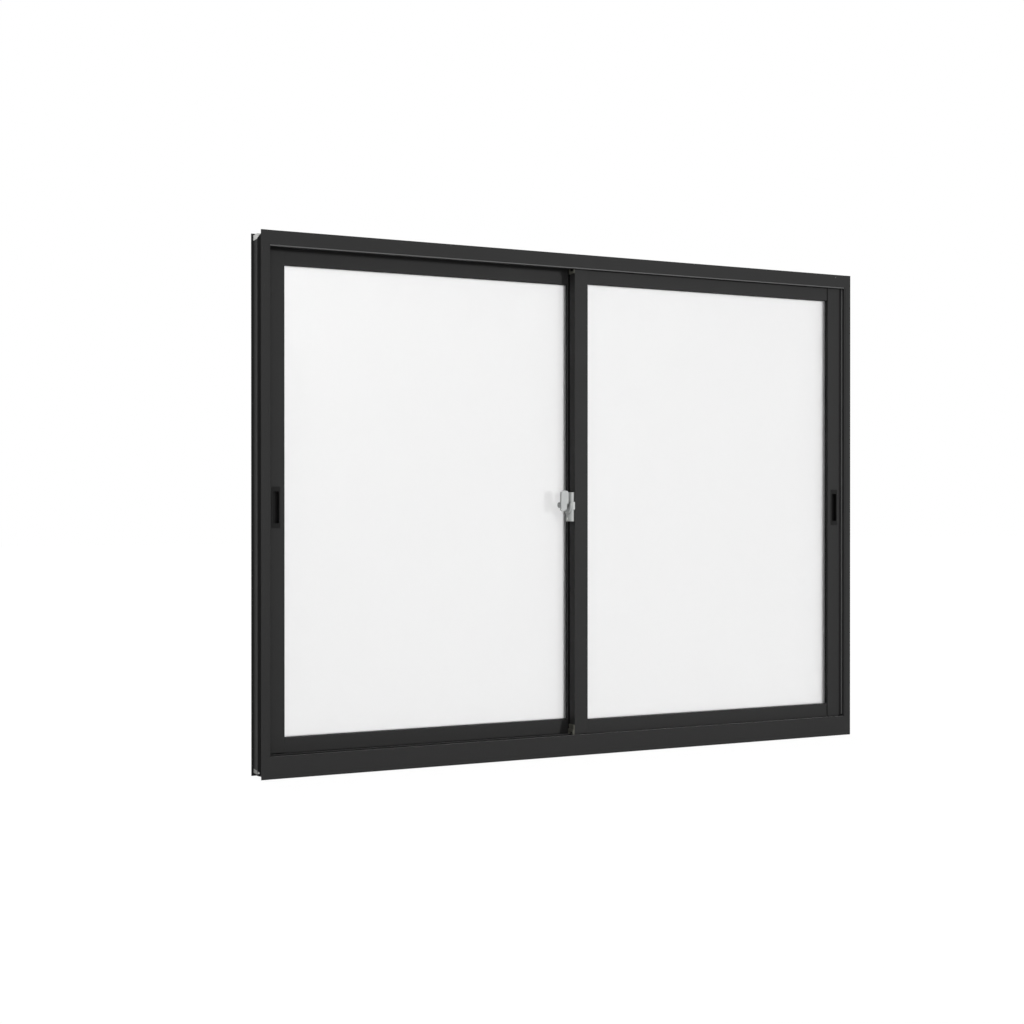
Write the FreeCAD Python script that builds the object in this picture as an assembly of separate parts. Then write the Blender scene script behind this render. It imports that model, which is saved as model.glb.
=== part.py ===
import FreeCAD, Part
import math
import os

# Horizontal sliding window: an aluminium frame with two tracks and two glazed sashes,
# held shut by a crescent lock where the sashes meet.
# X runs along the window, Y from the room (low) to the outside (high), Z up.
# The origin is on the room face of the sill's fixing fin, at mid width and mid height of the fin.
# All sizes are in millimetres. Pieces are drawn with x from the middle of the window,
# y from the room face of the frame and z from the lower edge of the frame's room face.

# Frame
frame_width = 1540.0
frame_height = 1170.0
frame_depth = 80.0
wall = 2.0
web_inset = 11.0
fin_front = 71.0
fin_thickness = 2.0
fin_reach = 2.0
chamber_inset = 2.0
chamber_front = 37.0
chamber_end = 14.0
front_wall_end = 0.5
front_wall_head_cut = 12.5
front_wall_sill_cut = 2.5
web_end = 5.0
head_face = 31.0
sill_face = 48.0
jamb_face = 16.0
jamb_lip = 4.0
jamb_lip_step = 0.8
lip_depth = 7.5
rear_lip = 14.0
jamb_rib = 11.0
jamb_rib_thickness = 3.0
guide_rib_thickness = 7.0
deck_below_sill_face = 12.0
track_above_deck = 12.5
track_thickness = 4.0
sill_slope_start = 66.0
sill_nose_height = 9.0
drain_length = 40.0
drain_width = 5.0
drain_height = 3.5
drain_above_floor = 1.0
drain_from_middle = 500.0
edge_round = 0.8

# Fixing holes in the fins of head and sill, and pads at the frame's corners
fin_hole_radius = 2.25
fin_hole_edge = 6.0
hole_from_middle = 150.0
hole_step = 300.0
hole_from_end = 70.0
pad_inset = 2.5
pad_end = 2.0

# Sashes
sash_thickness = 26.0
sash_setback = 12.5
sash_gap = 5.0
side_clearance = 5.0
outer_sash_rest = 2.5
meeting_overlap = 30.0
side_stile_face = 43.5
meeting_stile_face = 34.5
top_rail_face = 44.9
bottom_rail_face = 38.2
rail_setback = 2.5
head_engagement = 11.0
sill_engagement = 6.0
stile_foot_rise = 6.5
rail_foot_cut = 15.0
glazing_width = 11.0
glazing_depth = 8.0
side_groove_width = 12.0
side_groove_depth = 13.0
top_groove_width = 17.0
top_groove_depth = 22.0
bottom_groove_width = 14.0
bottom_groove_depth = 27.0
stile_round = 2.0

# Glass and seals
glass_thickness = 5.0
glass_bite = 5.0
gasket_sight = 0.5
pile_width = 6.0
pile_gap = 1.0
pile_centre = 15.0

# Finger pulls
pull_width = 19.0
pull_height = 90.0
pull_cup_width = 13.0
pull_cup_height = 69.0
pull_cup_depth = 10.0
pull_cup_wall = 1.0
pull_proud = 1.0
pull_corner = 2.0
pull_from_edge = 24.0
pull_above_sill_face = 531.5

# Rollers and guides
roller_radius = 9.0
roller_width = 6.0
roller_seat_gap = 0.3
roller_side_gap = 0.3
roller_groove_depth = 0.8
roller_from_end = 80.0
axle_radius = 2.5
axle_gap = 0.1
housing_length = 60.0
housing_above_track = 5.0
guide_length = 45.0
guide_height = 18.0
guide_slot_gap = 1.5
guide_floor = 4.0
cap_thickness = 2.5
cap_height = 22.0
cap_margin = 0.5
cap_run_gap = 5.0
foot_cap_drop = 3.5
foot_cap_height = 25.0
foot_cap_block = 14.0
foot_cap_thickness = 5.0

# Crescent lock
lock_above_sill_face = 537.0
lock_base_height = 68.0
lock_base_width = 11.5
lock_base_depth = 23.5
lock_base_drop = 4.0
lock_base_round = 7.0
lock_slope_width = 5.0
lock_slope_depth = 3.0
lock_band_height = 18.0
lock_band_drop = 1.5
lock_band_proud = 0.8
pivot_setback = 12.0
pivot_radius = 3.5
pivot_gap = 0.1
turning_gap = 0.5
hub_radius = 7.0
hub_length = 20.0
cam_radius = 21.5
cam_thickness = 4.0
cam_low_angle = -130.0
cam_high_angle = 12.0
grip_width = 19.0
grip_thickness = 6.0
grip_setback = 1.5
grip_rise = 34.0
grip_drop = 14.0
grip_waist = 15.0
grip_waist_rise = 2.5
grip_waist_slope = 2.0
grip_foot_width = 6.0
grip_foot_slope = 5.0
grip_top_round = 7.0
grip_foot_round = 4.0
grip_past_hub = 4.0
neck_height = 11.0
pivot_cap_radius = 6.5
pivot_cap_thickness = 3.5
keeper_height = 20.0
keeper_side_gap = 1.5
keeper_wall = 2.0
keeper_gasket_gap = 0.2

# Places worked out from the sizes above
half_width = frame_width / 2
web_outside = half_width - web_inset
web_inside = web_outside - wall
chamber_outside = half_width - chamber_inset
head_low = frame_height - head_face
head_web_top = frame_height - web_inset
head_web_low = head_web_top - wall
deck = sill_face - deck_below_sill_face
track_top = deck + track_above_deck
rear_face = frame_depth
fin_rear = fin_front + fin_thickness
room_sash_front = sash_setback
outer_sash_front = room_sash_front + sash_thickness + sash_gap
sash_middles = (room_sash_front + sash_thickness / 2, outer_sash_front + sash_thickness / 2)
sash_side = web_inside - side_clearance
sash_top = head_low + head_engagement
rail_low = sill_face - sill_engagement
stile_low = rail_low + stile_foot_rise
glass_low = rail_low + bottom_rail_face
glass_high = sash_top - top_rail_face
sight_side = sash_side - side_stile_face
meeting_plain = -meeting_overlap / 2
sight_meeting = meeting_plain + meeting_stile_face
top_groove_low = sash_top - top_groove_depth
bottom_groove_high = rail_low + bottom_groove_depth
lock_z = sill_face + lock_above_sill_face
pull_z = sill_face + pull_above_sill_face
origin = FreeCAD.Vector(0, fin_front, (web_inset - fin_reach) / 2)


def wire_of(points, place):
    """A closed wire through (a, b) or (a, b, radius) points, with an arc at each radius."""
    count = len(points)
    starts = []
    ends = []
    middles = []
    for i in range(count):
        here = FreeCAD.Vector(points[i][0], points[i][1], 0)
        radius = points[i][2] if len(points[i]) > 2 else 0.0
        if radius <= 0:
            starts.append(here)
            ends.append(here)
            middles.append(None)
            continue
        before = points[i - 1]
        after = points[(i + 1) % count]
        to_before = (FreeCAD.Vector(before[0], before[1], 0) - here).normalize()
        to_after = (FreeCAD.Vector(after[0], after[1], 0) - here).normalize()
        half_angle = to_before.getAngle(to_after) / 2
        reach = radius / math.tan(half_angle)
        bisector = (to_before + to_after).normalize()
        starts.append(here + to_before * reach)
        ends.append(here + to_after * reach)
        middles.append(here + bisector * (radius / math.sin(half_angle) - radius))
    edges = []
    for i in range(count):
        following = (i + 1) % count
        if middles[i] is not None:
            edges.append(Part.Arc(place(starts[i]), place(middles[i]), place(ends[i])).toShape())
        if (starts[following] - ends[i]).Length > 1e-6:
            edges.append(Part.LineSegment(place(ends[i]), place(starts[following])).toShape())
    return Part.Wire(edges)


def along_x(outline, x_from, x_to, hollows=()):
    """A (y, z) section with its hollows, run from x_from to x_to."""
    def place(p):
        return FreeCAD.Vector(x_from, p.x, p.y)
    return run_section(outline, hollows, place, FreeCAD.Vector(x_to - x_from, 0, 0))


def along_y(outline, y_from, y_to, hollows=()):
    """An (x, z) section with its hollows, run from y_from to y_to."""
    def place(p):
        return FreeCAD.Vector(p.x, y_from, p.y)
    return run_section(outline, hollows, place, FreeCAD.Vector(0, y_to - y_from, 0))


def along_z(outline, z_from, z_to, hollows=()):
    """An (x, y) section with its hollows, run from z_from to z_to."""
    def place(p):
        return FreeCAD.Vector(p.x, p.y, z_from)
    return run_section(outline, hollows, place, FreeCAD.Vector(0, 0, z_to - z_from))


def run_section(outline, hollows, place, run):
    solid = Part.Face(wire_of(outline, place)).extrude(run)
    for hollow in hollows:
        solid = solid.cut(Part.Face(wire_of(hollow, place)).extrude(run))
    return solid


def box(x_from, x_to, y_from, y_to, z_from, z_to):
    corner = FreeCAD.Vector(x_from, y_from, z_from)
    return Part.makeBox(x_to - x_from, y_to - y_from, z_to - z_from, corner)


def rectangle(a_from, a_to, b_from, b_to, radius=0.0):
    return [
        (a_from, b_from, radius),
        (a_to, b_from, radius),
        (a_to, b_to, radius),
        (a_from, b_to, radius),
    ]


def rod(radius, length, x, y, z, direction):
    return Part.makeCylinder(radius, length, FreeCAD.Vector(x, y, z), direction)


X_AXIS = FreeCAD.Vector(1, 0, 0)
Y_AXIS = FreeCAD.Vector(0, 1, 0)


def mirrored(shape):
    """The same piece on the other side of the window's middle."""
    return shape.mirror(FreeCAD.Vector(0, 0, 0), X_AXIS)


def outer_placed(shape):
    """A right-hand piece as part of the outer sash: mirrored, and set off from its jamb."""
    placed = mirrored(shape)
    placed.translate(X_AXIS * outer_sash_rest)
    return placed


def tidy(shape):
    """One clean solid: faces that lie in one plane are joined, stray slivers are dropped."""
    largest = max(shape.Solids, key=lambda solid: solid.Volume)
    return largest.removeSplitter()


def save(name, shape):
    """Write one piece, moved from the drawing's zero to the part's origin."""
    moved = shape.copy()
    moved.translate(-origin)
    moved.exportStep("parts/" + name + ".step")


def fin_hole(x, z):
    return rod(fin_hole_radius, fin_thickness, x, fin_front, z, Y_AXIS)


def fin_holes(z):
    """A row of fixing holes along the fin of the head or sill."""
    holes = []
    for x in (hole_from_middle, hole_from_middle + hole_step, half_width - hole_from_end):
        holes.append(fin_hole(-x, z))
        holes.append(fin_hole(x, z))
    return Part.makeCompound(holes)


def right_jamb():
    """Jamb: room flange, web, hollow chamber and fin outside, lips and ribs towards the sashes.

    The chamber's front wall runs on past its ends, with slanted cuts."""
    web = rectangle(web_inside, web_outside, wall, rear_face)
    jamb = along_z(web, web_end, frame_height - web_end)
    flange = [
        (half_width, 0, edge_round),
        (half_width, wall),
        (half_width - jamb_face, wall),
        (half_width - jamb_face, 0),
    ]
    jamb = jamb.fuse(along_z(flange, 0, frame_height))
    chamber = rectangle(web_outside, chamber_outside, chamber_front, fin_front)
    hollow = rectangle(web_outside, chamber_outside - wall, chamber_front + wall, fin_front)
    jamb = jamb.fuse(along_z(chamber, chamber_end, frame_height - chamber_end, [hollow]))
    front_wall = [
        (web_outside, front_wall_end),
        (chamber_outside, front_wall_end + front_wall_sill_cut),
        (chamber_outside, frame_height - front_wall_end - front_wall_head_cut),
        (web_outside, frame_height - front_wall_end),
    ]
    jamb = jamb.fuse(along_y(front_wall, chamber_front, chamber_front + wall))
    fin = rectangle(web_outside, half_width + fin_reach, fin_front, fin_rear)
    jamb = jamb.fuse(along_z(fin, -fin_reach, frame_height + fin_reach))
    lip_end = half_width - jamb_face - jamb_lip
    lip = [
        (half_width - jamb_face, jamb_lip_step),
        (half_width - jamb_face, wall),
        (lip_end + wall, wall),
        (lip_end + wall, lip_depth),
        (lip_end, lip_depth),
        (lip_end, jamb_lip_step, edge_round),
    ]
    jamb = jamb.fuse(along_z(lip, sill_face, head_low))
    for middle in sash_middles:
        half = jamb_rib_thickness / 2
        rib = [
            (web_inside, middle - half),
            (web_inside, middle + half),
            (web_inside - jamb_rib, middle + half, edge_round),
            (web_inside - jamb_rib, middle - half, edge_round),
        ]
        jamb = jamb.fuse(along_z(rib, track_top, head_low))
    rear = rectangle(web_inside - rear_lip, web_inside, rear_face - wall, rear_face)
    jamb = jamb.fuse(along_z(rear, sill_face, head_low))
    return tidy(jamb)


def head(jambs):
    """Head: hollow room lip, web with two hollow guide ribs, rear lip and fixing fin."""
    outline = [
        (0, frame_height, edge_round),
        (0, head_low, edge_round),
        (lip_depth, head_low, edge_round),
        (lip_depth, head_web_low),
    ]
    half = guide_rib_thickness / 2
    hollows = [rectangle(wall, lip_depth - wall, head_low + wall, head_web_low)]
    for middle in sash_middles:
        outline += [
            (middle - half, head_web_low),
            (middle - half, head_low, edge_round),
            (middle + half, head_low, edge_round),
            (middle + half, head_web_low),
        ]
        inside = half - wall
        hollows.append(rectangle(middle - inside, middle + inside, head_low + wall, head_web_low))
    outline += [
        (rear_face - wall, head_web_low),
        (rear_face - wall, head_low),
        (rear_face, head_low, edge_round),
        (rear_face, head_web_top, edge_round),
        (fin_rear, head_web_top),
        (fin_rear, frame_height + fin_reach),
        (fin_front, frame_height + fin_reach),
        (fin_front, head_web_top),
        (wall, head_web_top),
        (wall, frame_height),
    ]
    piece = along_x(outline, -web_outside, web_outside, hollows)
    for jamb in jambs:
        piece = piece.cut(jamb)
    return tidy(piece.cut(fin_holes(frame_height + fin_reach - fin_hole_edge)))


def sill(jambs):
    """Sill: hollow section with a room lip, a drained deck, two tracks, a sloped nose and a fin."""
    nose_top = web_inset + sill_nose_height
    outline = [
        (0, 0, edge_round),
        (wall, 0),
        (wall, web_inset),
        (fin_front, web_inset),
        (fin_front, -fin_reach),
        (fin_rear, -fin_reach),
        (fin_rear, web_inset),
        (rear_face, web_inset),
        (rear_face, nose_top, edge_round),
        (sill_slope_start, deck),
    ]
    half = track_thickness / 2
    for middle in reversed(sash_middles):
        outline += [
            (middle + half, deck),
            (middle + half, track_top, edge_round),
            (middle - half, track_top, edge_round),
            (middle - half, deck),
        ]
    outline += [
        (lip_depth, deck),
        (lip_depth, sill_face, edge_round),
        (0, sill_face, edge_round),
    ]
    floor = web_inset + wall
    roof = deck - wall
    room_middle, outer_middle = sash_middles
    slope = (deck - nose_top) / (rear_face - sill_slope_start)
    nose_end = rear_face - wall
    nose_roof = nose_top + wall * slope - wall * math.sqrt(1 + slope * slope)
    slope_end = sill_slope_start + (wall - wall * math.sqrt(1 + slope * slope)) / slope
    hollows = [
        [
            (wall, floor),
            (room_middle - wall / 2, floor),
            (room_middle - wall / 2, roof),
            (lip_depth - wall, roof),
            (lip_depth - wall, sill_face - wall),
            (wall, sill_face - wall),
        ],
        rectangle(room_middle + wall / 2, outer_middle - wall / 2, floor, roof),
        [
            (outer_middle + wall / 2, floor),
            (nose_end, floor),
            (nose_end, nose_roof),
            (slope_end, roof),
            (outer_middle + wall / 2, roof),
        ],
    ]
    piece = along_x(outline, -web_outside, web_outside, hollows)
    for jamb in jambs:
        piece = piece.cut(jamb)
    between_tracks = (room_middle + outer_middle) / 2
    drain_low = floor + drain_above_floor
    for x in (-drain_from_middle, 0, drain_from_middle):
        x_from = x - drain_length / 2
        x_to = x + drain_length / 2
        y_from = between_tracks - drain_width / 2
        piece = piece.cut(box(x_from, x_to, y_from, y_from + drain_width, roof, deck))
        drain_high = drain_low + drain_height
        piece = piece.cut(box(x_from, x_to, nose_end, rear_face, drain_low, drain_high))
    return tidy(piece.cut(fin_holes(fin_hole_edge - fin_reach)))


def corner_pads(z_from, z_to):
    """Sealing pads on the ends of the jambs' chambers, between front wall, web and fin."""
    pad_front = chamber_front + wall
    pad = box(web_outside, half_width - pad_inset, pad_front, fin_front, z_from, z_to)
    return Part.makeCompound([mirrored(pad), pad])


def run_notches(face_y, x_from, x_to):
    """The space that the head's rib and the sill's track take in a stile's ends."""
    middle = face_y + sash_thickness / 2
    top_half = top_groove_width / 2
    foot_half = bottom_groove_width / 2
    upper = box(x_from, x_to, middle - top_half, middle + top_half, top_groove_low, sash_top)
    lower = box(x_from, x_to, middle - foot_half, middle + foot_half, stile_low, bottom_groove_high)
    return upper.fuse(lower)


def side_stile(face_y):
    """Right-hand side stile: hollow, grooved for the jamb's rib and for the glass."""
    back = face_y + sash_thickness
    middle = face_y + sash_thickness / 2
    glazing = glazing_width / 2
    groove = side_groove_width / 2
    glass_seat = sight_side + glazing_depth
    groove_seat = sash_side - side_groove_depth
    outline = [
        (sight_side, face_y, edge_round),
        (sash_side, face_y, stile_round),
        (sash_side, middle - groove),
        (groove_seat, middle - groove),
        (groove_seat, middle + groove),
        (sash_side, middle + groove),
        (sash_side, back, stile_round),
        (sight_side, back, edge_round),
        (sight_side, middle + glazing),
        (glass_seat, middle + glazing),
        (glass_seat, middle - glazing),
        (sight_side, middle - glazing),
    ]
    hollow = [
        (sight_side + wall, face_y + wall),
        (sash_side - wall, face_y + wall),
        (sash_side - wall, middle - groove - wall),
        (groove_seat - wall, middle - groove - wall),
        (groove_seat - wall, middle + groove + wall),
        (sash_side - wall, middle + groove + wall),
        (sash_side - wall, back - wall),
        (sight_side + wall, back - wall),
        (sight_side + wall, middle + glazing + wall),
        (glass_seat + wall, middle + glazing + wall),
        (glass_seat + wall, middle - glazing - wall),
        (sight_side + wall, middle - glazing - wall),
    ]
    stile = along_z(outline, stile_low, sash_top, [hollow])
    stile = stile.cut(run_notches(face_y, sight_side, sash_side))
    half_cup = pull_cup_width / 2 + pull_cup_wall
    half_tall = pull_cup_height / 2 + pull_cup_wall
    pull_x = sash_side - pull_from_edge
    pocket = rectangle(pull_x - half_cup, pull_x + half_cup, pull_z - half_tall, pull_z + half_tall)
    return tidy(stile.cut(along_y(pocket, face_y, face_y + wall)))


def meeting_stile(face_y):
    """Meeting stile of the right-hand sash: hollow, grooved for the glass, plain where it meets."""
    back = face_y + sash_thickness
    middle = face_y + sash_thickness / 2
    glazing = glazing_width / 2
    glass_seat = sight_meeting - glazing_depth
    outline = [
        (meeting_plain, face_y, edge_round),
        (sight_meeting, face_y, edge_round),
        (sight_meeting, middle - glazing),
        (glass_seat, middle - glazing),
        (glass_seat, middle + glazing),
        (sight_meeting, middle + glazing),
        (sight_meeting, back, edge_round),
        (meeting_plain, back, edge_round),
    ]
    hollow = [
        (meeting_plain + wall, face_y + wall),
        (sight_meeting - wall, face_y + wall),
        (sight_meeting - wall, middle - glazing - wall),
        (glass_seat - wall, middle - glazing - wall),
        (glass_seat - wall, middle + glazing + wall),
        (sight_meeting - wall, middle + glazing + wall),
        (sight_meeting - wall, back - wall),
        (meeting_plain + wall, back - wall),
    ]
    stile = along_z(outline, stile_low, sash_top, [hollow])
    return tidy(stile.cut(run_notches(face_y, meeting_plain, sight_meeting)))


def top_rail(face_y):
    """Top rail between the stiles: grooved above for the guide rib and below for the glass."""
    front = face_y + rail_setback
    back = face_y + sash_thickness - rail_setback
    middle = face_y + sash_thickness / 2
    glazing = glazing_width / 2
    groove = top_groove_width / 2
    seat = glass_high + glazing_depth
    outline = [
        (front, sash_top),
        (front, glass_high, edge_round),
        (middle - glazing, glass_high),
        (middle - glazing, seat),
        (middle + glazing, seat),
        (middle + glazing, glass_high),
        (back, glass_high, edge_round),
        (back, sash_top),
        (middle + groove, sash_top),
        (middle + groove, top_groove_low),
        (middle - groove, top_groove_low),
        (middle - groove, sash_top),
    ]
    hollow = rectangle(front + wall, back - wall, seat + wall, top_groove_low - wall)
    return along_x(outline, sight_meeting, sight_side, [hollow])


def bottom_rail(face_y):
    """Bottom rail between the stiles: grooved for glass and track, its feet cut back at the side."""
    front = face_y + rail_setback
    back = face_y + sash_thickness - rail_setback
    middle = face_y + sash_thickness / 2
    glazing = glazing_width / 2
    groove = bottom_groove_width / 2
    seat = glass_low - glazing_depth
    outline = [
        (front, rail_low),
        (middle - groove, rail_low),
        (middle - groove, bottom_groove_high),
        (middle + groove, bottom_groove_high),
        (middle + groove, rail_low),
        (back, rail_low),
        (back, glass_low, edge_round),
        (middle + glazing, glass_low),
        (middle + glazing, seat),
        (middle - glazing, seat),
        (middle - glazing, glass_low),
        (front, glass_low, edge_round),
    ]
    rail = along_x(outline, sight_meeting, sight_side)
    foot_cut = [
        (sight_side - rail_foot_cut, rail_low),
        (sight_side, rail_low),
        (sight_side, stile_low),
    ]
    return rail.cut(along_y(foot_cut, front, back))


def glass(face_y):
    """The pane, let into the grooves of the stiles and rails."""
    middle = face_y + sash_thickness / 2
    half = glass_thickness / 2
    return box(
        sight_meeting - glass_bite,
        sight_side + glass_bite,
        middle - half,
        middle + half,
        glass_low - glass_bite,
        glass_high + glass_bite,
    )


def gasket(face_y):
    """Glazing gasket: fills the groove round the pane and shows a lip inside the frame."""
    middle = face_y + sash_thickness / 2
    half = glazing_width / 2
    outline = rectangle(
        sight_meeting - glazing_depth,
        sight_side + glazing_depth,
        glass_low - glazing_depth,
        glass_high + glazing_depth,
    )
    opening = rectangle(
        sight_meeting + gasket_sight,
        sight_side - gasket_sight,
        glass_low + gasket_sight,
        glass_high - gasket_sight,
    )
    ring = along_y(outline, middle - half, middle + half, [opening])
    return ring.cut(glass(face_y))


def finger_pull(face_y):
    """Moulded cup let into the side stile, with a thin flange on the stile's face."""
    x = sash_side - pull_from_edge
    half = pull_width / 2
    tall = pull_height / 2
    cup_half = pull_cup_width / 2
    cup_tall = pull_cup_height / 2
    flange = rectangle(x - half, x + half, pull_z - tall, pull_z + tall, pull_corner)
    body = rectangle(
        x - cup_half - pull_cup_wall,
        x + cup_half + pull_cup_wall,
        pull_z - cup_tall - pull_cup_wall,
        pull_z + cup_tall + pull_cup_wall,
    )
    cup = rectangle(x - cup_half, x + cup_half, pull_z - cup_tall, pull_z + cup_tall, pull_corner)
    front = face_y - pull_proud
    piece = along_y(flange, front, face_y)
    piece = piece.fuse(along_y(body, face_y, front + pull_cup_depth + pull_cup_wall))
    return tidy(piece.cut(along_y(cup, front, front + pull_cup_depth)))


def roller_places():
    return (sight_meeting + roller_from_end, sight_side - roller_from_end)


def roller_axis_z():
    return track_top + roller_seat_gap + roller_radius - roller_groove_depth


def roller_wheels(face_y):
    """Grooved wheels that run on the track, on the axles of their housings."""
    middle = face_y + sash_thickness / 2
    z = roller_axis_z()
    half = roller_width / 2
    groove_half = track_thickness / 2 + roller_side_gap
    rim = roller_radius
    floor = roller_radius - roller_groove_depth
    section = [
        (axle_radius + axle_gap, -half),
        (rim, -half),
        (rim, -groove_half),
        (floor, -groove_half),
        (floor, groove_half),
        (rim, groove_half),
        (rim, half),
        (axle_radius + axle_gap, half),
    ]
    wheels = []
    for x in roller_places():
        def place(p, x=x):
            return FreeCAD.Vector(x + p.x, middle + p.y, z)
        face = Part.Face(wire_of(section, place))
        wheels.append(face.revolve(FreeCAD.Vector(x, middle, z), Y_AXIS, 360))
    return Part.makeCompound(wheels)


def roller_housings(face_y):
    """Housings under the bottom rail, each with a slot for its wheel and an axle across it."""
    middle = face_y + sash_thickness / 2
    z = roller_axis_z()
    half = bottom_groove_width / 2
    slot_half = roller_width / 2 + roller_side_gap
    slot_reach = roller_radius + roller_seat_gap
    low = track_top + housing_above_track
    pieces = []
    for x in roller_places():
        outline = rectangle(x - housing_length / 2, x + housing_length / 2, low, bottom_groove_high)
        slot = rectangle(x - slot_reach, x + slot_reach, low, bottom_groove_high)
        housing = along_y(outline, middle - half, middle + half)
        housing = housing.cut(along_y(slot, middle - slot_half, middle + slot_half))
        axle = rod(axle_radius, bottom_groove_width, x, middle - half, z, Y_AXIS)
        pieces.append(housing.fuse(axle).removeSplitter())
    return Part.makeCompound(pieces)


def top_guides(face_y):
    """Guide blocks in the top rail, slotted over the head's rib."""
    middle = face_y + sash_thickness / 2
    half = top_groove_width / 2
    slot = guide_rib_thickness / 2 + guide_slot_gap
    high = top_groove_low + guide_height
    section = [
        (middle - half, top_groove_low),
        (middle + half, top_groove_low),
        (middle + half, high),
        (middle + slot, high),
        (middle + slot, top_groove_low + guide_floor),
        (middle - slot, top_groove_low + guide_floor),
        (middle - slot, high),
        (middle - half, high),
    ]
    near = along_x(section, sight_meeting, sight_meeting + guide_length)
    far = along_x(section, sight_side - guide_length, sight_side)
    return Part.makeCompound([near, far])


def stile_caps(face_y):
    """Caps over the open ends of the meeting stile's plain side, slotted over rib and track."""
    middle = face_y + sash_thickness / 2
    half = sash_thickness / 2 - cap_margin
    front = middle - half
    back = middle + half
    plain = meeting_plain
    slot = top_groove_width / 2
    cap = box(plain - cap_thickness, plain, front, back, sash_top - cap_height, sash_top)
    way = box(
        plain - cap_thickness, plain, middle - slot, middle + slot, head_low - cap_run_gap, sash_top
    )
    foot_low = stile_low - foot_cap_drop
    foot = box(plain - cap_thickness, plain, front, back, foot_low, foot_low + foot_cap_height)
    block_side = plain - foot_cap_thickness
    block = box(block_side, plain, front, back, foot_low, foot_low + foot_cap_block)
    slot = bottom_groove_width / 2
    foot_way = box(
        block_side, plain, middle - slot, middle + slot, foot_low, track_top + cap_run_gap
    )
    return Part.makeCompound([cap.cut(way), foot.fuse(block).cut(foot_way).removeSplitter()])


def meeting_pile():
    """Pile strip on the back of the room sash's meeting stile, towards the outer sash."""
    back = room_sash_front + sash_thickness
    x = meeting_plain + pile_centre
    return box(
        x - pile_width / 2,
        x + pile_width / 2,
        back,
        outer_sash_front - pile_gap,
        stile_low,
        sash_top,
    )


def lock_axis_y():
    return room_sash_front + pivot_setback


def lock_base():
    """Lock housing on the meeting stile's side: sloped front, a raised band and the pivot pin."""
    front = room_sash_front
    back = front + lock_base_depth
    side = meeting_plain - lock_base_width
    low = lock_z - lock_base_drop - lock_base_height / 2
    high = low + lock_base_height
    body = along_z(
        [
            (meeting_plain, front + lock_slope_depth),
            (meeting_plain, back),
            (side, back, edge_round),
            (side, front, lock_base_round - edge_round),
            (meeting_plain - lock_slope_width, front),
        ],
        low,
        high,
    )
    band_middle = lock_z - lock_band_drop
    band = along_z(
        [
            (meeting_plain, front - lock_band_proud),
            (meeting_plain, back),
            (side, back, edge_round),
            (side, front - lock_band_proud, lock_base_round),
        ],
        band_middle - lock_band_height / 2,
        band_middle + lock_band_height / 2,
    )
    pin_length = turning_gap + hub_length + turning_gap
    pin = rod(pivot_radius, pin_length, side - pin_length, lock_axis_y(), lock_z, X_AXIS)
    return tidy(body.fuse(band).fuse(pin))


def hub_far_x():
    return meeting_plain - lock_base_width - turning_gap - hub_length


def lock_pivot_cap():
    """Round cap that keeps the lever on its pin."""
    x = hub_far_x() - turning_gap - pivot_cap_thickness
    return rod(pivot_cap_radius, pivot_cap_thickness, x, lock_axis_y(), lock_z, X_AXIS)


def lock_lever():
    """Lever of the crescent lock: hub, thumb grip on a neck and the crescent cam, in one piece."""
    y = lock_axis_y()
    hub_x = hub_far_x()
    hub = rod(hub_radius, hub_length, hub_x, y, lock_z, X_AXIS)
    grip_x = hub_x - grip_past_hub
    grip_front = room_sash_front - grip_setback
    low = lock_z - grip_drop
    high = lock_z + grip_rise
    grip = along_y(
        [
            (grip_x, low, grip_foot_round),
            (grip_x + grip_foot_width, low),
            (grip_x + grip_waist, low + grip_foot_slope),
            (grip_x + grip_waist, lock_z + grip_waist_rise),
            (grip_x + grip_width, lock_z + grip_waist_rise + grip_waist_slope),
            (grip_x + grip_width, high, grip_top_round),
            (grip_x, high, grip_top_round),
        ],
        grip_front,
        grip_front + grip_thickness,
    )
    neck = box(
        hub_x,
        grip_x + grip_width,
        grip_front + grip_thickness,
        y,
        lock_z - neck_height / 2,
        lock_z + neck_height / 2,
    )
    cam_x = hub_x + hub_length - cam_thickness

    def on_cam(degrees):
        """Point on the cam's rim, with the angle taken from the room side upwards."""
        angle = math.radians(degrees)
        return FreeCAD.Vector(
            cam_x, y - cam_radius * math.cos(angle), lock_z + cam_radius * math.sin(angle)
        )
    centre = FreeCAD.Vector(cam_x, y, lock_z)
    cam_start = on_cam(cam_low_angle)
    cam_end = on_cam(cam_high_angle)
    rim = Part.Arc(cam_start, on_cam((cam_low_angle + cam_high_angle) / 2), cam_end).toShape()
    sides = [
        Part.LineSegment(cam_end, centre).toShape(),
        Part.LineSegment(centre, cam_start).toShape(),
    ]
    cam = Part.Face(Part.Wire([rim] + sides)).extrude(FreeCAD.Vector(cam_thickness, 0, 0))
    bore = rod(pivot_radius + pivot_gap, hub_length, hub_x, y, lock_z, X_AXIS)
    return tidy(hub.fuse(grip).fuse(neck).fuse(cam).cut(bore))


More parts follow.
